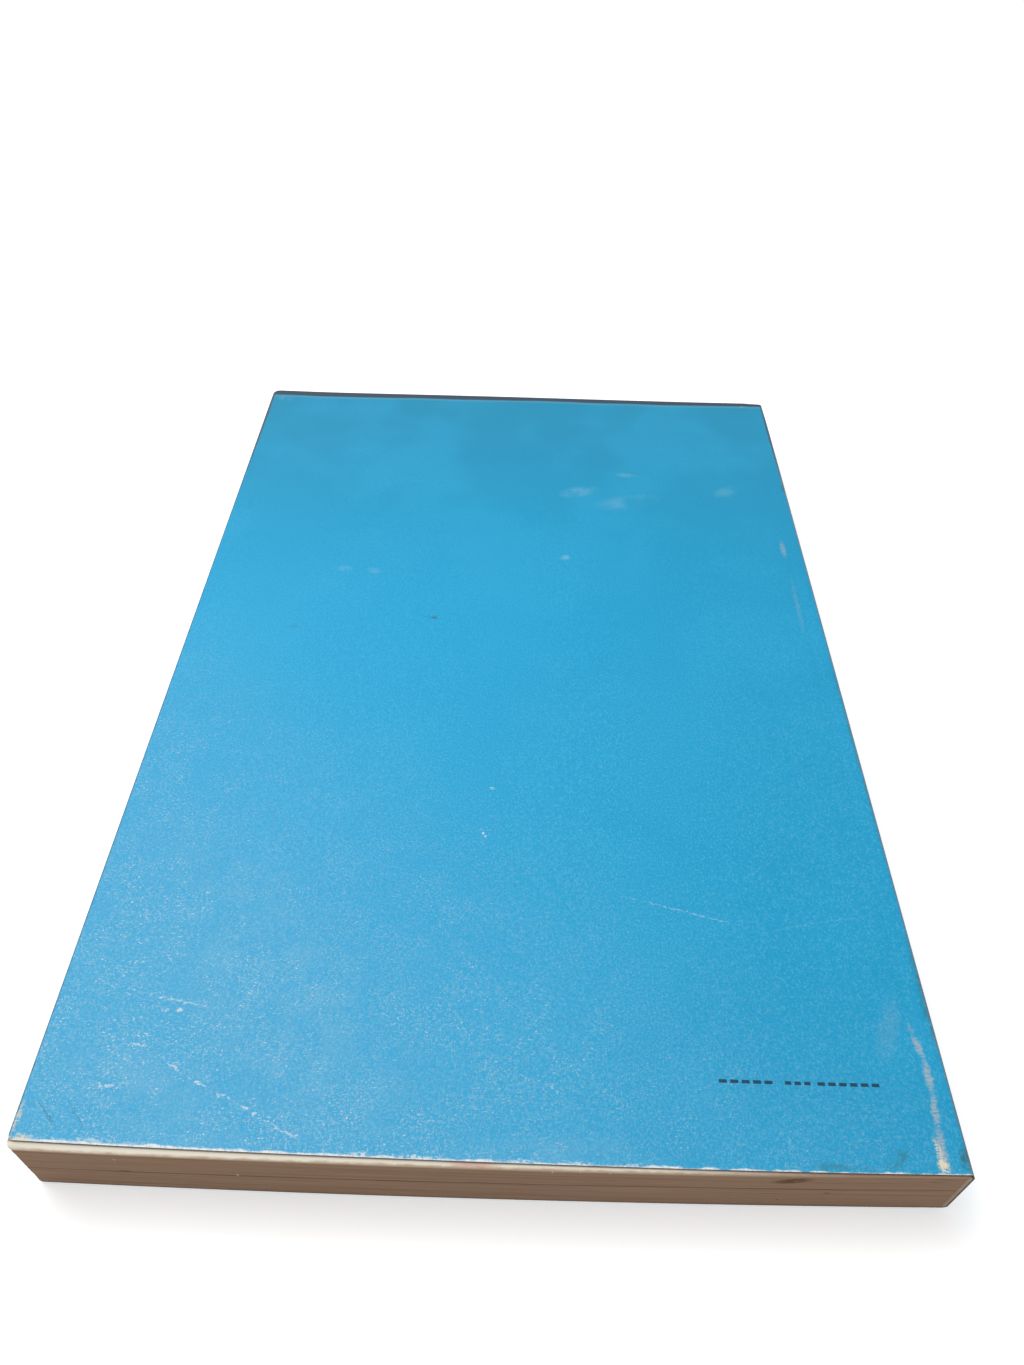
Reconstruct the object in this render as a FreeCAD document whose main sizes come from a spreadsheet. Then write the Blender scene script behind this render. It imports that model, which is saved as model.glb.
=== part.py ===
"""A trade paperback book, lying face down with its back cover up.

The leaves are one trimmed block. A film of glue holds the block's back edge in a cover of
thin card, which wraps round it. Each side of the cover folds along a score line a little
way in from the spine, so the two sides open and the strip between the scores stays put.
The block is a little thicker at the fore edge than at the spine, as a book that has been
read is, and the knife drew the last leaves back at the tail, which left a slanted band.

Millimetres. +Z is up, +X is towards the spine and -Y towards the tail of the book. Each
piece is drawn from the corner where the tail meets the fore edge, at table level. Its
placement moves that corner so that the origin is on the table, below the book's middle.
"""

import FreeCAD, Part
import Sketcher
import os

SIZES = {
    "leaf_width": 151.45,
    "leaf_height": 228.6,
    "block_at_spine": 14.1,
    "block_at_fore_edge": 15.3,
    "card_thickness": 0.35,
    "glue_thickness": 0.6,
    "hinge_inset": 4.0,
    "score_gap": 0.3,
    "drawn_back_at_fore_edge": 1.1,
    "drawn_back_at_spine": 0.35,
    "drawn_depth": 0.7,
    "leaf_corner_radius": 0.8,
    "head_corner_radius": 2.0,
    "tail_corner_radius": 1.0,
}

# Widths and slopes that several pieces share, as expressions on the sheet's cells.
CARD = "sizes.card_thickness"
LEAF_WIDTH = "sizes.leaf_width"
COVER_WIDTH = f"({LEAF_WIDTH} + sizes.glue_thickness + {CARD})"
CARD_INSIDE = f"({COVER_WIDTH} - {CARD})"
HINGE_X = f"({COVER_WIDTH} - sizes.hinge_inset)"
SCORE_X = f"({HINGE_X} + sizes.score_gap)"
# The card folds as tightly as the film of glue inside it lets it.
INNER_FOLD = "(0.9 * sizes.glue_thickness)"
OUTER_FOLD = f"({INNER_FOLD} + {CARD})"
TOP_SLOPE = f"((sizes.block_at_fore_edge - sizes.block_at_spine) / {LEAF_WIDTH})"
DRAWN_SLOPE = f"((sizes.drawn_back_at_fore_edge - sizes.drawn_back_at_spine) / {LEAF_WIDTH})"

# How far the cuts run past the solid, in millimetres, and how near counts as the same place.
PAST = "1"
NEAR = 1e-4


def leaf_top(x):
    """Height of the top leaf at a distance x from the fore edge."""
    return f"({CARD} + sizes.block_at_fore_edge - {TOP_SLOPE} * {x})"


def card_top(x):
    """Height of the back cover's outer face at x."""
    return f"({leaf_top(x)} + {CARD})"


def drawn_back(x):
    """How far the back cover and the last leaf stop short of the tail at x."""
    return f"(sizes.drawn_back_at_fore_edge - {DRAWN_SLOPE} * {x})"


def make_sheet(doc):
    """The sheet of sizes that can be set by themselves."""
    sheet = doc.addObject("Spreadsheet::Sheet", "sizes")
    for row, (alias, value) in enumerate(SIZES.items(), start=1):
        sheet.set(f"A{row}", alias)
        sheet.set(f"B{row}", str(value))
        sheet.setAlias(f"B{row}", alias)
    doc.recompute()


def make_body(doc, name):
    """An empty body, placed so that the row's origin is below the middle of the book."""
    body = doc.addObject("PartDesign::Body", name)
    body.Label = name
    body.setExpression("Placement.Base.x", f"-{COVER_WIDTH} / 2")
    body.setExpression("Placement.Base.y", "-sizes.leaf_height / 2")
    return body


def place_of(sketch, corner):
    """The corner's place at the sheet's present values, as a point of the sketch."""
    x, y = (float(sketch.evalExpression(expression)) for expression in corner)
    return FreeCAD.Vector(x, y, 0)


def draw_outline(body, name, plane_role, corners, offset=None):
    """A closed outline of straight edges on one of the body's own planes.

    Each corner is a pair of expressions, for its two distances from the sketch's origin.
    """
    sketch = body.newObject("Sketcher::SketchObject", name)
    plane = next(f for f in body.Origin.OriginFeatures if f.Role == plane_role)
    sketch.AttachmentSupport = [(plane, "")]
    sketch.MapMode = "FlatFace"
    if offset:
        sketch.setExpression("AttachmentOffset.Base.z", offset)
    places = [place_of(sketch, corner) for corner in corners]
    count = len(corners)
    for i in range(count):
        sketch.addGeometry(Part.LineSegment(places[i], places[(i + 1) % count]), False)
    for i in range(count):
        sketch.addConstraint(Sketcher.Constraint("Coincident", i, 2, (i + 1) % count, 1))
    for i, corner in enumerate(corners):
        for kind, expression, value in zip(("DistanceX", "DistanceY"), corner, places[i]):
            number = sketch.addConstraint(Sketcher.Constraint(kind, -1, 1, i, 1, value))
            sketch.setExpression(f"Constraints[{number}]", expression)
    return sketch


def run_to_head(body, name, corners):
    """A cross-section, drawn at the tail and run along the spine to the head."""
    pad = body.newObject("PartDesign::Pad", name)
    pad.Profile = draw_outline(body, name + "_section", "XZ_Plane", corners)
    pad.setExpression("Length", "sizes.leaf_height")
    pad.Reversed = True
    body.Document.recompute()
    return pad


def round_edges(body, name, radius, wanted):
    """Fillets the edges of the body's tip that pass the test."""
    base = body.Tip
    edges = [
        f"Edge{number}"
        for number, edge in enumerate(base.Shape.Edges, start=1)
        if wanted(edge.BoundBox)
    ]
    fillet = body.newObject("PartDesign::Fillet", name)
    fillet.Base = (base, edges)
    fillet.setExpression("Radius", radius)
    body.Tip = fillet
    body.Document.recompute()
    return fillet


def size_now(body, expression):
    """The value of an expression at the sheet's present values."""
    return float(body.evalExpression(expression))


def fore_edge_corner(body, at_head):
    """A test for the upright edge of the fore edge, at the head or at the tail."""
    middle = size_now(body, "sizes.leaf_height") / 2
    return lambda box: box.XMax < NEAR and box.YMin > middle if at_head else (
        box.XMax < NEAR and box.YMax < middle)


def long_edges(body, x):
    """A test for the two edges that run from tail to head at x."""
    edge_x = size_now(body, x)
    return lambda box: box.YLength > box.ZLength and all(
        abs(side - edge_x) < NEAR for side in (box.XMin, box.XMax))


def drawn_band(x):
    """Outline of the cut above the slanted band at x, seen along X.

    The band is equally steep all along, so it is flat, and it narrows towards the spine.
    """
    back = drawn_back(x)
    foot = f"{leaf_top(x)} - sizes.drawn_depth * {back} / sizes.drawn_back_at_fore_edge"
    return [
        ("0", foot),
        (back, leaf_top(x)),
        (back, f"{leaf_top(x)} + {PAST}"),
        (f"-{PAST}", f"{leaf_top(x)} + {PAST}"),
        (f"-{PAST}", foot),
    ]


def make_page_block(doc):
    """The leaves, trimmed on three sides, with the slanted band along the tail."""
    body = make_body(doc, "page_block")
    run_to_head(body, "leaves", [
        ("0", CARD),
        (LEAF_WIDTH, CARD),
        (LEAF_WIDTH, leaf_top(LEAF_WIDTH)),
        ("0", leaf_top("0")),
    ])
    for at_head in (False, True):
        name = "head_corner" if at_head else "tail_corner"
        corner = fore_edge_corner(body, at_head)
        round_edges(body, name, "sizes.leaf_corner_radius", corner)
    cut = body.newObject("PartDesign::SubtractiveLoft", "drawn_band")
    cut.Profile = draw_outline(body, "band_at_fore_edge", "YZ_Plane", drawn_band("0"))
    cut.Sections = [draw_outline(
        body, "band_at_spine", "YZ_Plane", drawn_band(LEAF_WIDTH), offset=LEAF_WIDTH)]
    cut.Ruled = True
    return body


def make_binding_glue(doc):
    """The film of glue between the block's back edge and the card, rounded at the folds."""
    body = make_body(doc, "binding_glue")
    run_to_head(body, "glue_film", [
        (LEAF_WIDTH, CARD),
        (CARD_INSIDE, CARD),
        (CARD_INSIDE, leaf_top(CARD_INSIDE)),
        (LEAF_WIDTH, leaf_top(LEAF_WIDTH)),
    ])
    round_edges(body, "glue_folds", INNER_FOLD, long_edges(body, CARD_INSIDE))
    return body


def make_spine_cover(doc):
    """The card round the spine, with the strip on each side that is stuck to the leaves."""
    body = make_body(doc, "spine_cover")
    run_to_head(body, "spine_wrap", [
        (SCORE_X, "0"),
        (COVER_WIDTH, "0"),
        (COVER_WIDTH, card_top(COVER_WIDTH)),
        (SCORE_X, card_top(SCORE_X)),
        (SCORE_X, leaf_top(SCORE_X)),
        (CARD_INSIDE, leaf_top(CARD_INSIDE)),
        (CARD_INSIDE, CARD),
        (SCORE_X, CARD),
    ])
    round_edges(body, "inner_folds", INNER_FOLD, long_edges(body, CARD_INSIDE))
    round_edges(body, "outer_folds", OUTER_FOLD, long_edges(body, COVER_WIDTH))
    return body


def round_cover_corners(body):
    """Blunts the two free corners of a cover, the head's more than the tail's."""
    tail = fore_edge_corner(body, at_head=False)
    head = fore_edge_corner(body, at_head=True)
    round_edges(body, "blunt_tail", "sizes.tail_corner_radius", tail)
    round_edges(body, "blunt_head", "sizes.head_corner_radius", head)


def make_back_cover(doc):
    """The side of the cover that lies on top, drawn back at the tail with the last leaf."""
    body = make_body(doc, "back_cover")
    run_to_head(body, "back_card", [
        ("0", leaf_top("0")),
        (HINGE_X, leaf_top(HINGE_X)),
        (HINGE_X, card_top(HINGE_X)),
        ("0", card_top("0")),
    ])
    trim = body.newObject("PartDesign::Pocket", "drawn_edge")
    trim.Profile = draw_outline(body, "drawn_line", "XY_Plane", [
        ("0", f"-{PAST}"),
        (HINGE_X, f"-{PAST}"),
        (HINGE_X, drawn_back(HINGE_X)),
        ("0", drawn_back("0")),
    ])
    trim.Type = "ThroughAll"
    trim.SideType = "Symmetric"
    body.Tip = trim
    doc.recompute()
    round_cover_corners(body)
    return body


def make_front_cover(doc):
    """The side of the cover that the book lies on."""
    body = make_body(doc, "front_cover")
    run_to_head(body, "front_card", [
        ("0", "0"),
        (HINGE_X, "0"),
        (HINGE_X, CARD),
        ("0", CARD),
    ])
    round_cover_corners(body)
    return body


def check_and_write(doc, bodies):
    """Stops at a failed feature, then writes each piece."""
    doc.recompute()
    for feature in doc.Objects:
        if {"Invalid", "Error"} & set(feature.State):
            raise RuntimeError(f"{feature.Name} failed: {feature.State}")
    os.makedirs("parts", exist_ok=True)
    for body in bodies:
        shape = body.Shape
        if shape.isNull() or not shape.isValid() or len(shape.Solids) != 1:
            raise RuntimeError(f"{body.Label} isn't one valid solid")
        shape.exportStep(f"parts/{body.Label}.step")
        box = shape.BoundBox
        print(f"{body.Label}: {box.XLength:.2f} x {box.YLength:.2f} x {box.ZLength:.2f} mm, "
              f"{shape.Volume:.0f} cubic mm")


def main():
    doc = FreeCAD.newDocument("paperback")
    make_sheet(doc)
    check_and_write(doc, [
        make_page_block(doc),
        make_binding_glue(doc),
        make_spine_cover(doc),
        make_back_cover(doc),
        make_front_cover(doc),
    ])


main()
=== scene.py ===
# %% [markdown]
# # A paperback book, face down
# The book is a block of trimmed leaves, glued along its back edge into a cover of thin card. It
# lies on its front cover with the tail towards us. The CAD model gives the sizes and the two
# hinges. Here each of its pieces is modelled again with the small forms that CAD leaves out: the
# leaves' edges, the crease beside the spine, the soft waves of a book that has been read.

# %% Load the frame
import math
import bmesh
import bpy
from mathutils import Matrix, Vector


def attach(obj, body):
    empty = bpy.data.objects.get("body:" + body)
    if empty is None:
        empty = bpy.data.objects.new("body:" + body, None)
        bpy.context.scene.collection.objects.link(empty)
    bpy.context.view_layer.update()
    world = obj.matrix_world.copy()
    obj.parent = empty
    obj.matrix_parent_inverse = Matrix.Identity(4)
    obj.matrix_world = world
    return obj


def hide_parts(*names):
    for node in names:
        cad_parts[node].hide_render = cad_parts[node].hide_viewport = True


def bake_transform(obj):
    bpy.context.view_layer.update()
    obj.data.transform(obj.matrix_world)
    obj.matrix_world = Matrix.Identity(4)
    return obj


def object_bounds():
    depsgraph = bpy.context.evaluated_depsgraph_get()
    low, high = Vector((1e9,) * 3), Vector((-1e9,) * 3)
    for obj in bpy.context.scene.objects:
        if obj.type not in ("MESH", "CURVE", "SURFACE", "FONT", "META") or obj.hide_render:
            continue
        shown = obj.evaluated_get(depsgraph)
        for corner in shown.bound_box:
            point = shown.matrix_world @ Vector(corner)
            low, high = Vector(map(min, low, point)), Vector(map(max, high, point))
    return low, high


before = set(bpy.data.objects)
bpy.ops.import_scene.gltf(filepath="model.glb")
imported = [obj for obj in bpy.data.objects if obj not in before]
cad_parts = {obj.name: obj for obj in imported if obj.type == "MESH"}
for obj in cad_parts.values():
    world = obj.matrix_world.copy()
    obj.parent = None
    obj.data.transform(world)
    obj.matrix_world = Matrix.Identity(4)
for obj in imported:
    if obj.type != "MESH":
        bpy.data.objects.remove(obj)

MM = 0.001
cad_box = [list(corner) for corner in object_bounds()]
WIDTH, HEIGHT, THICK = ((high - low) / MM for low, high in zip(*cad_box))
print(f"the book is {WIDTH:.1f} x {HEIGHT:.1f} x {THICK:.1f} mm")

# %% [markdown]
# ## The camera
# The photograph was taken with a phone held close above the tail, so the tail looks much wider
# than the head. The place and the angle come from a fit to the book's corners. The lens is the
# phone's focal length in pixels, turned into millimetres on Blender's 36 mm sensor.

# %% Set up the camera
bpy.ops.object.select_all(action="DESELECT")
bpy.ops.object.camera_add(
    location=(0.0033, -0.1692, 0.1819),
    rotation=[math.radians(angle) for angle in (43.83, -0.55, 1.38)])
camera = bpy.context.object
camera.data.sensor_width = 36
camera.data.lens = 1013 / 1365 * 36
camera.data.clip_start = 0.01
bpy.context.scene.camera = camera
print(f"lens {camera.data.lens:.2f} mm")

# %% [markdown]
# ## Shader arithmetic
# A material is a tree of nodes. Written out one by one they hide the idea, so two small classes
# let us write a finish as a formula. `Finish` holds the tree of a material or of the world, and
# its `node` method adds any node. `Mask` is a number that changes over the surface: `1 - mask`
# or `a * b` adds the Math node for us.

# %% Masks and finishes
class Mask:
    """A number that changes over the surface. Arithmetic on it adds Math nodes."""

    def __init__(self, finish, socket):
        self.finish, self.socket = finish, socket

    def maths(self, operation, *values):
        """Adds a Math node that works on these values, which are masks or numbers."""
        return self.finish.node("Math", {"operation": operation}, dict(enumerate(values)))

    def __add__(self, other):
        return self.maths("ADD", self, other)

    def __sub__(self, other):
        return self.maths("SUBTRACT", self, other)

    def __rsub__(self, other):
        return self.maths("SUBTRACT", other, self)

    def __mul__(self, other):
        return self.maths("MULTIPLY", self, other)

    def __abs__(self):
        return self.maths("ABSOLUTE", self)

    __radd__ = __add__
    __rmul__ = __mul__

    def or_(self, other):
        """The stronger of two masks."""
        return self.maths("MAXIMUM", self, other)

    def rise(self, low, high):
        """0 below low, 1 above high and smooth between. With low above high it falls instead."""
        return self.finish.node("MapRange", {"interpolation_type": "SMOOTHSTEP"}, {
            "Value": self, "From Min": low, "From Max": high})


class Finish:
    """The node tree of one material, or of the world."""

    def __init__(self, owner):
        owner.use_nodes = True
        self.owner, self.tree = owner, owner.node_tree
        self.tree.nodes.clear()

    def node(self, kind, settings, inputs, output=0):
        """Adds a node: its type, its settings, and the values or links of its sockets."""
        made = self.tree.nodes.new("ShaderNode" + kind)
        for name, value in settings.items():
            setattr(made, name, value)
        for key, value in inputs.items():
            if isinstance(value, Mask):
                self.tree.links.new(value.socket, made.inputs[key])
            else:
                made.inputs[key].default_value = value
        return Mask(self, made.outputs[output]) if len(made.outputs) else made

    def shown(self):
        """1 for what the camera sees, also in a mirror or through glass, and 0 for lighting."""
        camera_ray, glossy_ray, transmission_ray = (
            self.node("LightPath", {}, {}, output=i) for i in (0, 3, 6))
        return camera_ray.or_(glossy_ray).or_(transmission_ray)

    def millimetres(self):
        """The place on the closed book, in millimetres, which every piece keeps as it moves."""
        return self.node("Attribute", {"attribute_name": "rest_mm"}, {}, output=1)

    def stretch(self, place, factors):
        """The place, with each axis multiplied by its own factor."""
        return self.node("VectorMath", {"operation": "MULTIPLY"}, {0: place, 1: factors})

    def split(self, place):
        """The three parts of a place, each as a mask."""
        first = self.node("SeparateXYZ", {}, {0: place})
        return [Mask(self, socket) for socket in first.socket.node.outputs]

    def noise(self, place, per_mm, detail=2.0):
        """Cloudy noise from 0 to 1, with so many clouds a millimetre along each axis."""
        if not isinstance(per_mm, tuple):
            per_mm = (per_mm, per_mm, per_mm)
        return self.node("TexNoise", {}, {
            "Vector": self.stretch(place, per_mm), "Scale": 1.0, "Detail": detail})

    def mix(self, first, second, factor):
        """A colour that goes from the first to the second as the factor goes from 0 to 1."""
        return self.node("Mix", {"data_type": "RGBA"}, {0: factor, 6: first, 7: second}, output=2)

    def surface(self, colour, roughness, bump, depth_mm, **constants):
        """The shader. The bump's depth is in millimetres."""
        normal = self.node("Bump", {}, {"Distance": depth_mm * MM, "Height": bump})
        inputs = {"Base Color": colour, "Roughness": roughness, "Normal": normal}
        inputs.update({key.replace("_", " "): value for key, value in constants.items()})
        shader = self.node("BsdfPrincipled", {}, inputs)
        self.node("OutputMaterial", {}, {"Surface": shader})
        return self.owner


def new_finish(name):
    """A new material's finish, still empty."""
    return Finish(bpy.data.materials.new(name))

# %% [markdown]
# ## Colours
# The lamp and the world are set so that matte paper that lies flat renders as its colour is
# written. A colour that was read off the picture also holds some sheen from the sky, about a
# tenth. `seen` takes that off, and `paint` is for papers whose own colour is known.

# %% Colours
SHEEN = 1.1


def paint(red, green, blue):
    """A surface's own colour, as a paint program writes it from 0 to 255, turned into light."""
    def light(part):
        part /= 255
        return part / 12.92 if part <= 0.04045 else ((part + 0.055) / 1.055) ** 2.4
    return (light(red), light(green), light(blue), 1.0)


def seen(red, green, blue):
    """The own colour of a surface that looks like this in the picture."""
    return tuple(part / SHEEN for part in paint(red, green, blue)[:3]) + (1.0,)


RUBBED_CARD = paint(240, 243, 242)
print("the blue card's own colour:", [round(part, 3) for part in seen(20, 176, 228)])

# %% [markdown]
# ## Light and floor
# The book lies on a white table under soft daylight from the far left, which leaves the tail in
# shade. A large area lamp gives that light and the world fills the shadows. The floor and the
# world are white to the camera and greyer to the light that bounces, so the book keeps its
# shadow and the tail isn't flooded. The floor is just as far down as the front cover lies when
# it is folded all the way open beside the book.

# %% A lamp, the world and the floor
def shine(name, direction, distance, size, watts):
    """A square lamp, so far away in a direction and turned towards the origin."""
    turn = Vector(direction).to_track_quat("Z", "Y").to_euler()
    bpy.ops.object.light_add(
        type="AREA", location=Vector(direction).normalized() * distance, rotation=turn)
    lamp = bpy.context.object
    lamp.name = name
    lamp.data.size, lamp.data.energy = size, watts


shine("window", (-0.35, 0.3, 0.88), 1.1, 0.8, 8.4)

FILL = 0.46
studio = bpy.data.worlds.new("studio")
bpy.context.scene.world = studio
sky = Finish(studio)
background = sky.node("Background", {}, {
    "Color": sky.mix((FILL, FILL, FILL, 1), (1, 1, 1, 1), sky.shown())})
sky.node("OutputWorld", {}, {"Surface": background})

FLOOR_DROP = 0.7
bpy.ops.mesh.primitive_plane_add(size=6, location=(0, 0, -FLOOR_DROP * MM))
floor = bpy.context.object
floor.name = "table"
bpy.ops.object.transform_apply(location=True, rotation=True, scale=True)
table = new_finish("table")
shown = table.shown()
table_shader = table.node("BsdfPrincipled", {}, {
    "Base Color": table.mix((0.45, 0.45, 0.45, 1), (0.8, 0.8, 0.8, 1), shown),
    "Emission Color": table.mix((0, 0, 0, 1), (0.5, 0.5, 0.5, 1), shown),
    "Emission Strength": 1.0, "Roughness": 0.9, "Specular IOR Level": 0.1})
table.node("OutputMaterial", {}, {"Surface": table_shader})
floor.data.materials.append(table.owner)
bpy.context.scene.view_settings.view_transform = "Standard"
print("one lamp, a world and a floor")

# %% [markdown]
# ## The printed card
# The outside of the cover is uncoated card printed all over in one sky blue, with a fine linen
# grain pressed in. Years of handling have left marks on it: the ink is rubbed off the tail edge
# and the crease, pale scuffs and scratches cross it, and there is dirt near the spine. Painted
# light is added to them: pale patches of painted sheen low on the left, dark lines of painted
# shade in the creases, and painted shade along the head edge. Each mark is a soft ellipse, placed
# and turned by one Mapping node. Noise shifts the place a little first, so that no mark has a
# clean outline, and then breaks it up.

# %% Marks
def mark(finish, place, start, end, width, soft=0.7):
    """A mask along a line from start to end, width across, in millimetres."""
    (ax, ay), (bx, by) = start, end
    reach = math.hypot(bx - ax, by - ay) / 2 + width / 2
    middle = ((ax + bx) / 2, (ay + by) / 2, 0)
    local = finish.node("Mapping", {"vector_type": "TEXTURE"}, {
        "Vector": place, "Location": middle, "Rotation": (0, 0, math.atan2(by - ay, bx - ax)),
        "Scale": (reach, width / 2, 1e6)})
    away = finish.node("VectorMath", {"operation": "LENGTH"}, {0: local}, output=1)
    return away.rise(1, 1 - soft)


def marks(finish, place, rows):
    """The strongest of several marks, each a start, an end, a width and a strength."""
    total = None
    for start, end, width, strength in rows:
        one = mark(finish, place, start, end, width) * strength
        total = total.or_(one) if total else one
    return total

# %% [markdown]
# The tables say where each mark lies on the back cover, in millimetres from the book's middle,
# with x towards the spine and y towards the head: its start, its end, its width and how strong
# it is. The marks low on the right follow the crease, where the card has been bent most.

# %% Where the marks lie
RUBBED = [
    ((71.6, -88.0), (72.2, -91.0), 1.2, 0.3), ((72.0, -90.6), (72.9, -94.8), 1.7, 0.85),
    ((72.9, -94.4), (72.7, -100.9), 1.7, 0.85), ((72.7, -100.3), (72.2, -106.6), 1.6, 0.8),
    ((72.2, -106.0), (71.6, -112.9), 2.2, 0.9), ((71.1, 38.4), (71.1, 46.0), 1.9, 0.45),
    ((70.9, 8.0), (71.3, 32.0), 1.4, 0.2), ((70.2, -84.0), (66.0, -95.0), 5.0, 0.12),
]
SCRATCHES = [
    ((-4.2, -50.0), (-2.9, -52.3), 0.6, 1.0), ((-2.5, -39.8), (-2.2, -39.8), 0.8, 0.8),
    ((-64.0, -86.7), (-46.7, -89.9), 0.5, 0.6), ((-57.3, -90.2), (-56.6, -90.2), 0.9, 1.0),
    ((-55.0, -90.0), (-54.0, -90.1), 0.9, 1.0), ((-62.0, -96.4), (-58.5, -96.6), 0.5, 0.8),
    ((19.1, -63.5), (48.6, -71.1), 0.4, 0.35), ((48.6, -71.1), (72.0, -67.0), 0.4, 0.15),
    ((-55.8, -98.2), (-50.8, -101.4), 0.55, 0.8), ((-50.8, -101.4), (-45.5, -104.0), 0.5, 1.0),
    ((-45.5, -104.0), (-41.4, -105.5), 0.5, 0.8), ((-41.4, -105.5), (-36.7, -108.2), 0.55, 1.0),
    ((-36.7, -108.2), (-30.1, -111.1), 0.5, 0.8), ((-67.5, -104.2), (-58.6, -102.8), 0.7, 0.6),
    ((-22.0, -113.0), (-19.0, -113.0), 1.0, 1.0), ((-18.0, -113.2), (-6.0, -113.2), 0.9, 0.9),
    ((1.7, -113.4), (8.0, -113.4), 0.8, 0.9), ((11.0, -113.4), (17.0, -113.4), 0.7, 0.8),
    ((18.0, -113.4), (31.0, -113.4), 0.7, 0.7), ((-76.0, -111.9), (-50.0, -112.7), 1.1, 0.6),
]
# Pale patches. The small ones are marks on the card; the last three, low on the left and along the
# tail, are painted sheen.
CLOUDS = [
    ((14.0, 64.0), (22.0, 66.5), 6.0, 0.5), ((-43.5, 29.3), (-41.3, 29.3), 3.0, 0.7),
    ((-36.0, 28.8), (-34.0, 28.8), 3.0, 0.6), ((13.2, 36.2), (14.2, 36.2), 2.4, 0.9),
    ((29.0, 74.0), (34.0, 74.0), 3.0, 0.3), ((24.0, 59.0), (38.0, 63.0), 8.0, 0.35),
    ((57.0, 66.0), (62.0, 69.0), 6.0, 0.3), ((69.5, 113.5), (69.5, 112.5), 2.4, 0.9),
    ((-74.0, 112.0), (-71.0, 109.0), 5.0, 0.55), ((-66.0, -100.0), (-40.0, -112.0), 22.0, 0.3),
    ((-60.0, -60.0), (-20.0, -108.0), 40.0, 0.22), ((-10.0, -112.0), (30.0, -112.0), 8.0, 0.25),
]
BARE = [
    ((71.7, -113.2), (71.4, -111.0), 2.4, 1.0), ((71.4, -111.0), (71.1, -107.8), 1.3, 0.7),
    ((-76.2, -112.8), (-73.2, -112.3), 2.6, 0.9), ((-75.9, -112.0), (-75.7, -106.0), 1.2, 0.7),
]
DIRT = [
    ((63.0, -112.4), (65.6, -110.4), 3.0, 0.7), ((75.2, -112.4), (75.6, -109.0), 2.4, 0.9),
    ((75.6, -95.0), (75.6, -72.0), 2.4, 0.55), ((75.6, -72.0), (75.6, 20.0), 1.2, 0.3),
    ((-21.8, 11.7), (-18.6, 11.9), 0.7, 0.45), ((-18.8, 11.8), (-17.7, 11.8), 1.5, 0.95),
    ((-52.5, 7.3), (-49.5, 7.3), 1.4, 0.35), ((75.4, 71.0), (75.4, 68.0), 1.6, 0.9),
    ((50.0, -112.6), (62.0, -112.8), 1.4, 0.5), ((28.0, 76.0), (38.0, 74.0), 1.0, 0.25),
]
# Dark lines of painted shade where the card is creased, low on the left.
CREASE_SHADE_LINES = [
    ((-73.9, -105.9), (-68.6, -110.8), 0.5, 0.5), ((-68.3, -106.5), (-64.5, -110.6), 0.4, 0.4),
]
# A plain row of dashes crosses the card near the tail. Each group is its start, its end and how
# many it holds.
DASHES = [(37.6, 46.6, 5), (48.6, 52.9, 3), (54.0, 64.3, 6)]
DASH_ROW, DASH_GAP = -99.5, 0.5
print(sum(map(len, (RUBBED, SCRATCHES, CLOUDS, BARE, DIRT, CREASE_SHADE_LINES))), "marks")

# %% [markdown]
# The edges wear first, so their masks are distances from the edge. The tail edge of the back
# cover isn't straight: the knife drew it back, more at the fore edge than at the spine, and the
# tail is bowed. Both are written as formulas here and used again for the shapes.

# %% The wear of the back cover
CARD = 0.35
BOW = 0.7
BACK_AT_FORE_EDGE, BACK_AT_SPINE, BAND_DEPTH = 1.1, 0.35, 0.7
LEAF_WIDTH = 151.45
BACK_SLOPE = (BACK_AT_FORE_EDGE - BACK_AT_SPINE) / LEAF_WIDTH
HINGE = 72.5
TOP_LEAF = THICK - CARD
BAND_FOOT = TOP_LEAF - BAND_DEPTH
HALF_W, HALF_H = WIDTH / 2, HEIGHT / 2


def dash_row(card, x, y):
    """The mask of the dashes: groups of equal dashes along x, at one place in y."""
    dashes = None
    for first, last, count in DASHES:
        pitch = (last - first + DASH_GAP) / count
        part = card.node("Math", {"operation": "FRACT"}, {0: (x - first) * (1 / pitch)})
        one = part.rise((pitch - DASH_GAP) / pitch, (pitch - DASH_GAP - 0.1) / pitch)
        one = one * x.rise(first - 0.1, first) * x.rise(last + 0.1, last)
        dashes = dashes.or_(one) if dashes else one
    return dashes * abs(y - DASH_ROW).rise(0.34, 0.26)


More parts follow.
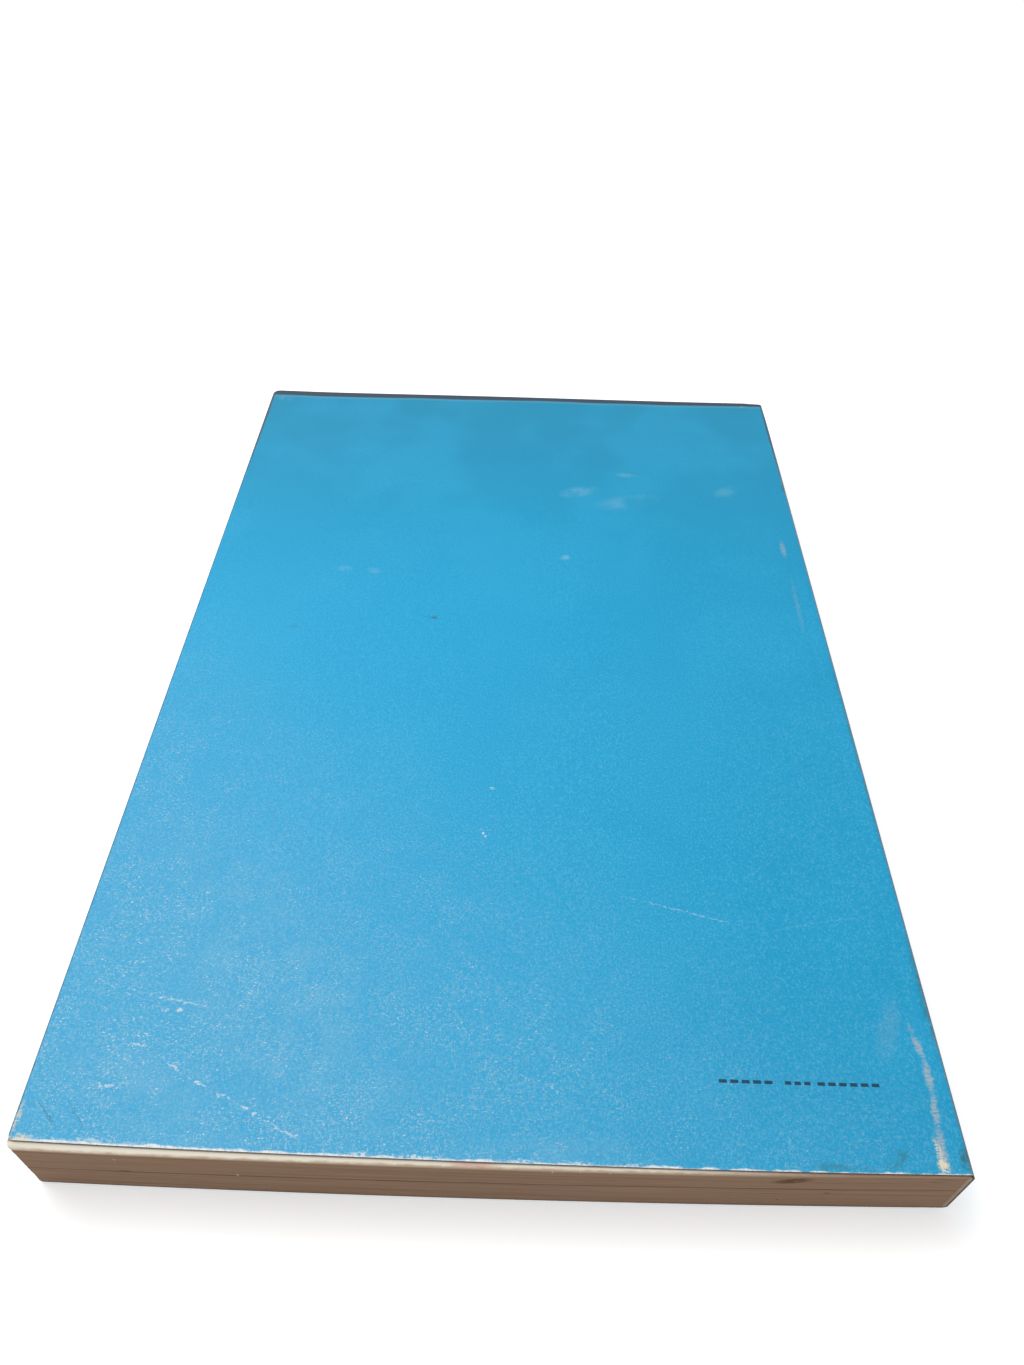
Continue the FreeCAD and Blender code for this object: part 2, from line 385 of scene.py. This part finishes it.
def wear_shade_and_sheen_of_the_back(card, colour, place, grain, worn, cloud):
    """Adds the marks that the photograph shows, with painted sheen in some pale patches and painted
    shade in the creases and along the head edge. Returns the colour and where it is rubbed.
    """
    x, y, z = card.split(place)
    upper = z.rise(10, 11)
    wobble = card.node("TexNoise", {}, {"Vector": place, "Scale": 1.3, "Detail": 3.0}, output=1)
    shift = card.node("VectorMath", {"operation": "MULTIPLY_ADD"}, {
        0: wobble, 1: (1.4, 1.4, 0), 2: (-0.7, -0.7, 0)})
    loose = card.node("VectorMath", {"operation": "ADD"}, {0: place, 1: shift})

    def on_top(rows):
        """The marks of a table, on the back cover alone."""
        return marks(card, loose, rows) * upper

    strokes = card.noise(place, (1.0, 5.0, 1.0), 3.0).rise(0.3, 0.62) * 0.8 + 0.1
    broken = card.noise(place, (1.3, 2.0, 1.3), 3.0).rise(0.42, 0.56)
    blotchy = card.noise(place, 0.22, 4.0).rise(0.3, 0.7)
    stained = card.noise(place, 0.5, 5.0).rise(0.28, 0.62)

    from_left = x * (1 / HALF_W)
    drawn = (x + HALF_W) * -BACK_SLOPE + BACK_AT_FORE_EDGE
    inside = y - (from_left * from_left * BOW + drawn - HALF_H)
    ragged = inside + worn * 1.3 - 0.65 + x.rise(-20, 60) * 0.16
    tail = ragged.rise(0.42, 0.12) * (grain.rise(0.44, 0.56) * 0.4 + 0.6)
    rubbed = on_top(RUBBED) * strokes
    scratched = on_top(SCRATCHES) * broken
    bare = on_top(BARE) * grain.rise(0.4, 0.52)
    # Painted shade along the head edge: a greyer band and then a slate line at the very edge.
    from_head = y - x * 0.004 + cloud * 1.6
    head_edge_shade = from_head.rise(112.5, 113.2) * upper

    # Pale patches: real marks, and painted sheen low on the left.
    colour = card.mix(colour, seen(160, 208, 232), on_top(CLOUDS) * blotchy * 0.55)
    colour = card.mix(colour, seen(206, 200, 192), rubbed * 0.85)
    colour = card.mix(colour, seen(232, 242, 248), scratched * 0.85)
    colour = card.mix(colour, RUBBED_CARD, tail)
    colour = card.mix(colour, seen(58, 104, 92), on_top(DIRT) * stained * 0.85)
    # Painted shade in the creases.
    colour = card.mix(colour, seen(30, 100, 130), on_top(CREASE_SHADE_LINES))
    colour = card.mix(colour, paint(230, 222, 196), bare)
    # Painted shade at the head edge: first a greyer band, then the slate line.
    colour = card.mix(colour, seen(104, 166, 192), from_head.rise(111.2, 112.6) * upper * 0.35)
    colour = card.mix(colour, seen(50, 70, 86), head_edge_shade)
    colour = card.mix(colour, seen(20, 44, 66), dash_row(card, x, y) * upper * 0.9)
    return colour, rubbed.or_(scratched).or_(tail).or_(bare)

# %% [markdown]
# The grain shows most where it is nearest and low on the left, where a painted sheen lies over the
# blue and its raised fibres are painted paler, with painted glints. Further up it blurs into an
# even blue, painted darker towards the head and the spine as shade. The fore edge and the two folds
# at the spine carry a line of painted shade, slate grey towards the head and browner towards the
# tail.

# %% The card's blue finish
def printed_card(name, is_back):
    """Blue card with its grain, painted sheen low on the left and painted shade towards the head,
    the spine and the edges. The back cover's and the spine's is worn as in the photograph.
    """
    card = new_finish(name)
    place = card.millimetres()
    x, y, z = card.split(place)
    weft = card.noise(place, (3.6, 0.8, 3.6), 1.0)
    warp = card.noise(place, (0.8, 3.6, 0.8), 1.0)
    grain = (weft + warp) * 0.5
    fine = card.noise(place, (2.6, 2.0, 2.6), 3.0)
    sheen_fibres = card.noise(place, (4.2, 1.6, 4.2)).or_(card.noise(place, (1.6, 4.2, 1.6)))
    patches = card.noise(place, 0.16, 3.0).rise(0.34, 0.68)
    glints = card.noise(place, (2.0, 3.4, 2.0), 1.0).rise(0.62, 0.78)
    cloud = card.noise(place, 0.035)
    worn = card.noise(place, (0.35, 0.9, 0.35), 3.0)
    near = y.rise(60, -60)
    # Where the painted sheen lies, low on the left.
    sheen_low_left = (x * 0.6 + y * 0.8).rise(-20, -110)

    # Painted shade: the blue is painted darker towards the head and towards the spine.
    colour = card.mix(seen(18, 176, 228), seen(12, 146, 184), y.rise(0, 118))
    colour = card.mix(colour, seen(20, 150, 190), x.rise(-30, 90) * 0.45)
    colour = card.mix(colour, seen(44, 182, 230), cloud.rise(0.42, 0.66) * 0.3)
    colour = card.mix(colour, seen(6, 148, 202), (1 - fine.rise(0.34, 0.62)) * 0.4)
    # Painted sheen and glints: pale flecks on the grain near the tail, partly its own tone and
    # partly painted sheen, and low on the left a pale painted sheen, paler painted fibres and
    # bright painted glints.
    colour = card.mix(colour, seen(110, 190, 224), fine.rise(0.52, 0.72) * (near * 0.3 + 0.06))
    colour = card.mix(colour, seen(190, 212, 224), sheen_fibres.rise(0.5, 0.84) * (
        sheen_low_left * (patches * 0.4 + 0.26) + near * 0.1) + sheen_low_left * 0.06)
    colour = card.mix(colour, seen(240, 246, 250), glints * sheen_low_left * (patches * 0.6 + 0.2))
    if is_back:
        colour, rub = wear_shade_and_sheen_of_the_back(card, colour, place, grain, worn, cloud)
    else:
        rub = (worn * 1.2 - y - HALF_H).rise(-0.9, -0.2) * 0.8
        colour = card.mix(colour, RUBBED_CARD, rub)

    # Painted shade: a slate-grey line along the fore edge and the two folds at the spine, strongest
    # towards the head; on the folds it turns browner towards the tail.
    at_head = y.rise(55, 100)
    fore_edge = (x + HALF_W + worn * 0.5 - at_head * 0.45).rise(0.6, 0.35)
    colour = card.mix(colour, seen(76, 88, 96), fore_edge * (at_head * 0.3 + 0.6))
    at_folds = z.rise(13.4, 14.1).or_(z.rise(0.9, 0.3))
    fold = (x - worn * 0.5 + at_head * 0.55).rise(75.3, 75.7) * at_folds
    fold_shade = card.mix(seen(134, 106, 92), seen(60, 74, 84), at_head)
    colour = card.mix(colour, fold_shade, fold * 0.8)
    return card.surface(
        colour, rub * 0.25 + fine * 0.16 + 0.4, grain * 0.6 + fine * 0.4, 0.05,
        Specular_IOR_Level=0.22)


blue_back = printed_card("printed card, back and spine", True)
blue_front = printed_card("printed card, front", False)
print(len(blue_back.node_tree.nodes), "nodes in the back cover's finish")

# %% [markdown]
# The inside of the cover isn't printed: it is plain card, yellowed from its edges inwards. The
# card's own edge face is browner still, and a little furry.

# %% Bare card and card edge
TONED_WIDTH = 14


def plain_paper(name, pale, toned, fleck):
    """Unprinted paper or card, toned from its edges inwards, with a few flecks."""
    paper = new_finish(name)
    place = paper.millimetres()
    x, y, _ = paper.split(place)
    fibre = paper.noise(place, (1.1, 2.6, 2.0), 4.0)
    blotch = paper.noise(place, 0.06)
    across = abs(x).rise(HALF_W - TONED_WIDTH, HALF_W)
    along = abs(y).rise(HALF_H - TONED_WIDTH, HALF_H)
    colour = paper.mix(pale, toned, across.or_(along) * (blotch * 0.8 + 0.3))
    colour = paper.mix(colour, toned, fibre.rise(0.45, 0.75) * 0.25)
    colour = paper.mix(colour, fleck, paper.noise(place, 1.1, 1.0).rise(0.76, 0.8) * 0.5)
    return paper.surface(colour, fibre * 0.1 + 0.75, fibre, 0.02, Specular_IOR_Level=0.25)


bare_card = plain_paper(
    "bare card", seen(240, 230, 206), seen(212, 190, 152), seen(150, 120, 86))
plain_leaf = plain_paper(
    "plain leaf", seen(236, 222, 192), seen(196, 166, 124), seen(140, 108, 74))

rim = new_finish("card edge")
fur = rim.noise(rim.millimetres(), (1.2, 1.2, 6.0), 3.0)
card_edge = rim.surface(
    rim.mix(seen(104, 80, 64), seen(150, 122, 98), fur.rise(0.35, 0.7)),
    fur * 0.1 + 0.8, fur, 0.03, Specular_IOR_Level=0.2)
print("bare card, plain leaf and card edge")

# %% [markdown]
# ## The leaves' edges
# Some hundred and forty sheets, cut in one stroke, show as fine brown lines that run the whole
# way round. The lines follow the leaves, which the waves and the wedge bend, so they can't be
# tied to the height above the table. Each point keeps its own height within the straight block
# in a UV map, made before the bending, and the noise reads that: stretched far along the
# leaves, and squeezed across them. The blots and nicks on the tail are tables like those of the
# card, with x and the height. One dark line crosses the tail, where a gathering ends.

# %% The leaf edges' finish
LINE_HEIGHT, LINE_SLOPE = 7.93, 0.0165
BLOTS = [
    ((45.6, 11.2), (50.6, 12.6), 3.2, 1.0), ((54.2, 6.4), (55.3, 6.4), 0.6, 0.8),
    ((47.0, 3.4), (47.5, 2.7), 0.35, 0.8), ((-60.5, 7.2), (-58.3, 7.1), 0.9, 0.8),
    ((69.0, 12.2), (73.0, 12.0), 0.4, 0.8), ((69.5, 13.7), (73.5, 13.6), 0.35, 0.7),
    ((-4.8, 7.6), (3.0, 7.8), 0.5, 0.6),
]
NICKS = [
    ((-59.9, 12.6), (-59.7, 12.0), 0.35, 1.0), ((-41.1, 7.8), (-40.8, 7.0), 0.35, 1.0),
    ((9.9, 14.0), (10.0, 13.2), 0.35, 1.0), ((14.3, 14.0), (14.3, 13.5), 0.3, 0.9),
    ((19.0, 13.7), (19.1, 13.3), 0.3, 0.8),
]
leaf = new_finish("leaf edges")
around = leaf.node("UVMap", {"uv_map": "leaves"}, {})
_, up, _ = leaf.split(around)
place = leaf.millimetres()
x, y, z = leaf.split(place)
sheets = leaf.noise(around, (0.05, 7.5, 1.0), 2.0)
quires = leaf.noise(around, (0.012, 1.1, 1.0), 3.0)
grime = leaf.noise(place, (0.06, 0.06, 0.25), 3.0)
furry = leaf.noise(place, (1.6, 1.6, 5.0), 2.0)
on_tail = y.rise(-112.6, -112.9)
to_spine = x.rise(15, 66)
colour = leaf.mix(seen(176, 142, 117), seen(198, 162, 134), sheets.rise(0.3, 0.7))
colour = leaf.mix(colour, seen(158, 124, 102), quires.rise(0.45, 0.7) * 0.5)
colour = leaf.mix(colour, seen(182, 156, 132), grime.rise(0.5, 0.7) * 0.35)
wander = leaf.noise(place, (0.08, 0.08, 0.08), 1.0) * 0.3
dark_line = (abs(up - x * LINE_SLOPE - LINE_HEIGHT) - wander).rise(0.12, 0.0)
colour = leaf.mix(colour, seen(92, 66, 54), dark_line * on_tail * (quires * 0.45 + 0.35))
# Painted light: the band's bright strip is carried a little way down the tail's leaves, fading out
# towards the spine.
painted_light_below_band = (up + furry * 0.5).rise(BAND_FOOT - 0.6, BAND_FOOT + 0.25) * on_tail * (1 - to_spine)
colour = leaf.mix(colour, paint(250, 228, 194), painted_light_below_band * 0.8)
tail_face = leaf.node("CombineXYZ", {}, {0: x, 1: z, 2: 0.0})
blots = marks(leaf, tail_face, BLOTS)
colour = leaf.mix(colour, seen(104, 72, 38), blots * on_tail * furry.rise(0.2, 0.5) * 0.85)
nicks = marks(leaf, tail_face, NICKS)
colour = leaf.mix(colour, paint(250, 242, 226), nicks * on_tail)
leaf_edges = leaf.surface(
    colour, furry * 0.1 + 0.8, sheets * 0.6 + quires * 0.6 + furry * 0.3, 0.09,
    Specular_IOR_Level=0.2)

# %% [markdown]
# The slanted band is the one clean cut. Its near-white colour is partly the clean paper and partly
# painted light; it is browner towards its foot, and it dulls into the rest of the block on its way
# to the spine. A painted shadow darkens it just under the card.

# %% The fresh cut and the glue
fresh = new_finish("fresh leaf edges")
around = fresh.node("UVMap", {"uv_map": "leaves"}, {})
_, up, _ = fresh.split(around)
place = fresh.millimetres()
x, _, _ = fresh.split(place)
sheets = fresh.noise(around, (0.03, 9.0, 1.0), 2.0)
ragged = fresh.noise(place, (0.5, 0.5, 3.0), 2.0)
drawn = (x + HALF_W) * (-BACK_SLOPE / BACK_AT_FORE_EDGE * BAND_DEPTH) + BAND_DEPTH
from_foot = up - TOP_LEAF + drawn
brown_foot = (from_foot + ragged * 0.3).rise(0.42, 0.12)
pink_stain = mark(fresh, place, (-7, -113.6), (2, -113.6), 2.0)
# Painted shadow of the card, just under its edge.
shadow_under_card = up.rise(TOP_LEAF - 0.12, TOP_LEAF - 0.04)
# The near-white base is partly painted light.
colour = fresh.mix(paint(255, 250, 232), paint(248, 230, 200), sheets.rise(0.5, 0.75) * 0.5)
colour = fresh.mix(colour, seen(196, 160, 130), brown_foot * 0.85)
colour = fresh.mix(colour, seen(172, 138, 114), x.rise(22, 62) * 0.9)
colour = fresh.mix(colour, seen(226, 150, 132), pink_stain * 0.5)
colour = fresh.mix(colour, seen(130, 100, 80), shadow_under_card * 0.55)
fresh_edges = fresh.surface(colour, 0.8 - sheets * 0.1, sheets, 0.04, Specular_IOR_Level=0.2)

glue = new_finish("dried glue")
runs = glue.noise(glue.millimetres(), (0.7, 0.25, 0.7), 3.0)
dried_glue = glue.surface(
    glue.mix(seen(172, 140, 108), seen(140, 110, 82), runs), runs * 0.2 + 0.35, runs, 0.06,
    Specular_IOR_Level=0.5)
print("leaf edges, fresh edges and glue")

# %% [markdown]
# ## Working in edit mode
# Every piece starts as a cube or a plane of the right size, and is then cut, bevelled and
# filled by the operators one would use by hand. These helpers stand in for the mouse: `start`
# adds the first shape, and `choose` selects faces, edges or corners by where they are and which
# way they face.

# %% Start a piece and choose its parts
def only(piece):
    """Selects this piece alone and makes it active."""
    bpy.ops.object.select_all(action="DESELECT")
    piece.select_set(True)
    bpy.context.view_layer.objects.active = piece


def start(name, low, high, flat=False):
    """A cube, or its upper face alone, between two corners in millimetres, open in edit mode."""
    bpy.ops.object.select_all(action="DESELECT")
    middle = Vector([(a + b) / 2 * MM for a, b in zip(low, high)])
    sides = [(b - a) * MM for a, b in zip(low, high)]
    if flat:
        middle.z = high[2] * MM
        bpy.ops.mesh.primitive_plane_add(size=1, location=middle)
    else:
        bpy.ops.mesh.primitive_cube_add(size=1, location=middle)
    piece = bpy.context.object
    piece.name = piece.data.name = name
    piece.scale = sides
    bpy.ops.object.transform_apply(location=True, rotation=True, scale=True)
    bpy.ops.object.mode_set(mode="EDIT")
    return piece


def choose(kind, test):
    """In edit mode, selects only what passes the test, which gets a place in mm and a direction."""
    order = ("VERT", "EDGE", "FACE")
    bpy.context.tool_settings.mesh_select_mode = [kind == k for k in order]
    bpy.ops.mesh.select_all(action="DESELECT")
    data = bpy.context.object.data
    mesh = bmesh.from_edit_mesh(data)
    count = 0
    for part in (mesh.verts, mesh.edges, mesh.faces)[order.index(kind)]:
        corners = [part.co] if kind == "VERT" else [v.co for v in part.verts]
        middle = sum(corners, Vector()) / len(corners) / MM
        if kind == "EDGE":
            towards = (corners[1] - corners[0]).normalized()
        else:
            towards = part.normal
        if test(middle, towards):
            part.select_set(True)
            count += 1
    mesh.select_flush_mode()
    bmesh.update_edit_mesh(data)
    return count

# %% [markdown]
# A flat face can't bend, so `slice_up` cuts straight across a piece wherever it will bend later.
# `finish_with` applies a modifier at once, which keeps the mesh free of anything that is live.

# %% Cut a piece and finish it
def slice_up(axis, places):
    """Cuts the whole piece straight across an axis at each place."""
    for at in places:
        bpy.ops.mesh.select_all(action="SELECT")
        point, across = [0, 0, 0], [0, 0, 0]
        point[axis], across[axis] = at * MM, 1
        bpy.ops.mesh.bisect(plane_co=point, plane_no=across)


def steps(low, high, spacing):
    """Places from low to high, about so far apart, without the two ends."""
    count = round((high - low) / spacing)
    return [low + (high - low) * i / count for i in range(1, count)]


def give(*materials):
    """Gives the piece in hand its materials, one slot each."""
    for material in materials:
        bpy.context.object.data.materials.append(material)


def finish_with(piece, kind, **settings):
    """Adds a modifier, sets it and applies it."""
    only(piece)
    modifier = piece.modifiers.new(kind.lower(), kind)
    for name, value in settings.items():
        setattr(modifier, name, value)
    bpy.ops.object.modifier_apply(modifier=modifier.name)

# %% [markdown]
# ## The block of leaves
# The block could be a hundred and forty thin boxes, but their gaps would be far too fine to
# see, and heavy. Instead one cube is cut into layers, and its three trimmed sides are pushed in
# by a few hundredths of a millimetre with a texture that is stretched along the layers. That
# gives the sides a real, slightly uneven surface. The slanted band along the tail is one more
# straight cut: the knife drew the last leaves back before it bit.

# %% Cut the block
LEAF_CORNER = 0.8
COLUMN, ROW, LAYER = 6, 9, 0.32
BACK_EDGE = LEAF_WIDTH - HALF_W
block = start("leaf_block", (-HALF_W, -HALF_H, CARD), (BACK_EDGE, HALF_H, TOP_LEAF))
give(leaf_edges, fresh_edges, plain_leaf)
choose("EDGE", lambda p, d: abs(d.z) > 0.9 and p.x < 0)
bpy.ops.mesh.bevel(offset=LEAF_CORNER * MM, segments=4, affect="EDGES")
fore_top = Vector((-HALF_W, BACK_AT_FORE_EDGE - HALF_H, TOP_LEAF))
fore_foot = Vector((-HALF_W, -HALF_H, BAND_FOOT))
spine_top = Vector((BACK_EDGE, BACK_AT_SPINE - HALF_H, TOP_LEAF))
band_normal = (fore_foot - fore_top).cross(spine_top - fore_top).normalized()
bpy.ops.mesh.select_all(action="SELECT")
bpy.ops.mesh.bisect(
    plane_co=fore_top * MM, plane_no=band_normal, use_fill=True, clear_outer=True)
slice_up(0, steps(-HALF_W + 1, BACK_EDGE, COLUMN))
slice_up(1, steps(-HALF_H, HALF_H, ROW))
slice_up(2, steps(CARD, BAND_FOOT, LAYER))
on_band, on_leaf = (lambda p, n: n.y < -0.3 and n.z > 0.3), (lambda p, n: abs(n.z) > 0.9)
for index, test in ((1, on_band), (2, on_leaf)):
    choose("FACE", test)
    block.active_material_index = index
    bpy.ops.object.material_slot_assign()
bpy.ops.object.mode_set(mode="OBJECT")
print(len(block.data.polygons), "faces in the block, band normal", band_normal)

# %% [markdown]
# The UV map is written before anything bends: across it runs the distance round the block, and
# up it the height, both in millimetres.

# %% Keep each leaf's height, then roughen the sides
RIDGE_DEPTH = 0.12
RIDGE_STRETCH = (0.03, 0.03, 0.0007)
while block.data.uv_layers:
    block.data.uv_layers.remove(block.data.uv_layers[0])
height_map = block.data.uv_layers.new(name="leaves")
for corner in block.data.loops:
    co = block.data.vertices[corner.vertex_index].co / MM
    height_map.data[corner.index].uv = (co.x + co.y, co.z)

only(block)
bpy.ops.object.mode_set(mode="EDIT")
choose("VERT", lambda p, n: (abs(p.y) > HALF_H - 1 or p.x < 1 - HALF_W)
       and CARD + 0.1 < p.z < BAND_FOOT - 0.1 and p.x < 75)
bpy.ops.object.vertex_group_add()
bpy.ops.object.vertex_group_assign()
bpy.ops.object.mode_set(mode="OBJECT")
bpy.ops.object.empty_add(location=(0, 0, 0))
stretcher = bpy.context.object
stretcher.scale = RIDGE_STRETCH
ridges = bpy.data.textures.new("leaf ridges", "CLOUDS")
ridges.noise_scale = 1.0
finish_with(
    block, "DISPLACE", texture=ridges, texture_coords="OBJECT", texture_coords_object=stretcher,
    vertex_group=block.vertex_groups[0].name, strength=RIDGE_DEPTH * MM, mid_level=1.0)
bpy.data.objects.remove(stretcher)
print("sides roughened")

# %% [markdown]
# ## The glue and the card round the spine
# The glue is a thin film, rounded where the card folds over it. The card round the spine is one
# U-shaped strip. It is modelled as the outside of that U, bevelled at the two folds, and
# Solidify gives it the card's thickness inwards, with bare card on the inside and the browned
# edge on its rims. Its top strip ends where the knife left the back cover.

# %% Make the glue and the wrap
FOLD = 0.89
film = start("glue_film", (BACK_EDGE, -HALF_H, CARD), (HALF_W - CARD, HALF_H, TOP_LEAF))
give(dried_glue)
choose("EDGE", lambda p, d: abs(d.y) > 0.9 and p.x > HALF_W - CARD - 0.1)
bpy.ops.mesh.bevel(offset=(FOLD - CARD) * MM, segments=5, affect="EDGES")
slice_up(1, steps(-HALF_H, HALF_H, ROW))
slice_up(2, steps(CARD + 1, TOP_LEAF - 1, 3))
bpy.ops.object.mode_set(mode="OBJECT")

CREASE = (72.7, 72.9, 73.15, 73.5)
wrap = start("spine_wrap", (HINGE, -HALF_H, 0), (HALF_W, HALF_H, THICK))
give(blue_back, bare_card, card_edge)
choose("FACE", lambda p, n: n.x < -0.9 or abs(n.y) > 0.9)
bpy.ops.mesh.delete(type="FACE")
choose("EDGE", lambda p, d: abs(d.y) > 0.9 and p.x > HALF_W - 0.1)
bpy.ops.mesh.bevel(offset=FOLD * MM, segments=7, affect="EDGES")
slice_up(0, CREASE)
slice_up(1, steps(-HALF_H, HALF_H, ROW))
slice_up(2, steps(1, THICK - 1, 3))
choose("VERT", lambda p, n: p.y < 0.01 - HALF_H and p.z > THICK - 0.5)
bpy.ops.transform.translate(value=(0, BACK_AT_SPINE * MM, 0))
bpy.ops.object.mode_set(mode="OBJECT")
print(len(film.data.polygons), "faces in the glue,", len(wrap.data.polygons), "in the wrap")

# %% [markdown]
# ## The covers
# Each side of the cover is a sheet of card from the crease to the fore edge. Its free corners
# are blunted by bevelling the corner points, the head's more than the tail's. The back cover's
# tail edge is cut along the line that the knife took. Beside the crease the sheet gets narrow
# columns, because there it has to bend when the cover opens.

# %% Make the two covers
BEND = (71.5, 71.65, 71.8, 71.95, 72.1, 72.25, 72.4)
HEAD_CORNER, TAIL_CORNER = 2.0, 1.0


def round_and_slice():
    """Blunts the sheet's two free corners and cuts it wherever it will bend."""
    for at_head, radius in ((True, HEAD_CORNER), (False, TAIL_CORNER)):
        choose("VERT", lambda p, n: p.x < 0 and (p.y > 0) == at_head)
        bpy.ops.mesh.bevel(offset=radius * MM, segments=5, affect="VERTICES")
    slice_up(0, steps(-HALF_W + 2, 70, COLUMN) + [70, 71, *BEND])
    slice_up(1, steps(-HALF_H + 2, HALF_H - 2, COLUMN))
    bpy.ops.object.mode_set(mode="OBJECT")


back = start("back_cover_shell", (-HALF_W, -HALF_H, 0), (HINGE, HALF_H, THICK), flat=True)
give(blue_back, bare_card, card_edge)
line_start = Vector((-HALF_W, BACK_AT_FORE_EDGE - HALF_H, THICK))
line_end = Vector((BACK_EDGE, BACK_AT_SPINE - HALF_H, THICK))
run = (line_end - line_start).normalized()
bpy.ops.mesh.select_all(action="SELECT")
bpy.ops.mesh.bisect(plane_co=line_start * MM, plane_no=(run.y, -run.x, 0), clear_outer=True)
round_and_slice()

front = start("front_cover_shell", (-HALF_W, -HALF_H, 0), (HINGE, HALF_H, 0), flat=True)
give(blue_front, bare_card, card_edge)
bpy.ops.mesh.select_all(action="SELECT")
bpy.ops.mesh.flip_normals()
round_and_slice()
print(len(back.data.polygons), "faces in the back cover,", len(front.data.polygons), "in the front")

# %% [markdown]
# The crease is a shallow valley that the score line pressed into the card. Moving the columns
# beside it down gives it a soft slope on both pieces. Then Solidify thickens every sheet
# inwards.

# %% Press the crease, thicken the card
SCORE, SCORE_DEPTH, SCORE_WIDTH = 72.2, 0.06, 0.8


def press(sheet, inwards):
    """Presses the columns near the score line in, on the top (-1) or on the underside (1)."""
    for vertex in sheet.data.vertices:
        p = vertex.co / MM
        on_outside = p.z > THICK - 0.01 if inwards < 0 else p.z < 0.01
        if on_outside:
            dip = SCORE_DEPTH * math.exp(-((p.x - SCORE) / SCORE_WIDTH) ** 2)
            vertex.co.z += inwards * dip * MM


for sheet, inwards in ((back, -1), (wrap, -1), (wrap, 1), (front, 1)):
    press(sheet, inwards)

for sheet in (back, wrap, front):
    finish_with(
        sheet, "SOLIDIFY", thickness=CARD * MM, offset=-1, use_even_offset=True,
        material_offset=1, material_offset_rim=2)
    print(sheet.name, "is", len(sheet.data.polygons), "faces")

# %% [markdown]
# ## Settling the book
# So far everything is straight. The real book is a little thicker at the fore edge, its tail is
# bowed, and its cover lies in very soft waves. If each piece were bent by itself they would come
# apart, so one lattice round the whole book bends them all in the same way. Its top layer sinks
# towards the spine and along the waves, and its tail ends move inwards. Then each point writes
# down where it lies, so that the marks stay in their places on a cover that opens.

# %% Bend everything with one lattice
WEDGE = 1.2


def settled(p):
    """Where a point of the straight book goes, in millimetres."""
    across = (p.x + HALF_W) / WIDTH
    up = p.z / THICK
    to_tail = (HALF_H - p.y) / HEIGHT
    # The waves fade out at the fore edge and at the spine.
    wave = 0.06 * (1 - math.cos(p.x * 0.055 + 0.6))
    wave += 0.05 * (1 - math.cos(p.y * 0.045 + p.x * 0.02))
    wave *= min(1.0, min(across, 1 - across) * 8)
    # The card is a little crushed where the spine meets the head.
    blunt = 1.0 if p.x > HALF_W - 1 and p.y > HALF_H - 1 else 0.0
    return Vector((
        p.x - 0.2 * blunt,
        p.y + BOW * (p.x / HALF_W) ** 2 * to_tail - 0.5 * blunt,
        p.z - up * (WEDGE * across + wave)))


only(block)
bpy.ops.object.add(type="LATTICE", location=(0, 0, THICK / 2 * MM))
lattice = bpy.context.object
lattice.scale = (WIDTH * MM, HEIGHT * MM, THICK * MM)
lattice.data.points_u, lattice.data.points_v, lattice.data.points_w = 27, 21, 2
for axis in ("u", "v", "w"):
    setattr(lattice.data, "interpolation_type_" + axis, "KEY_LINEAR")
bpy.context.view_layer.update()
for point in lattice.data.points:
    here = (lattice.matrix_world @ point.co) / MM
    point.co_deform = lattice.matrix_world.inverted() @ (settled(here) * MM)
print(len(lattice.data.points), "points in the lattice")
for piece in (block, film, wrap, back, front):
    finish_with(piece, "LATTICE", object=lattice)
    bpy.ops.object.shade_smooth_by_angle(angle=math.radians(35))
    rest = piece.data.attributes.new("rest_mm", "FLOAT_VECTOR", "POINT")
    rest.data.foreach_set("vector", [part / MM for v in piece.data.vertices for part in v.co])
bpy.data.objects.remove(lattice)

# %% [markdown]
# ## Hand the pieces to the frame
# Each piece stands for a node of the CAD model, which is hidden. The block, the glue and the wrap
# move with the book's body; the two covers only have their place baked into their meshes.

# %% Say what moves with what
for piece, node, slot in (
        (block, "page_block", "leaves"), (film, "binding_glue", "binding_glue"),
        (wrap, "spine_cover", "cover_card")):
    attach(piece, "book")
    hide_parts(node)
for piece, node, body, z in (
        (back, "back_cover", "back_side", 0.0148), (front, "front_cover", "front_side", 0.0)):
    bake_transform(piece)
    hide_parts(node)
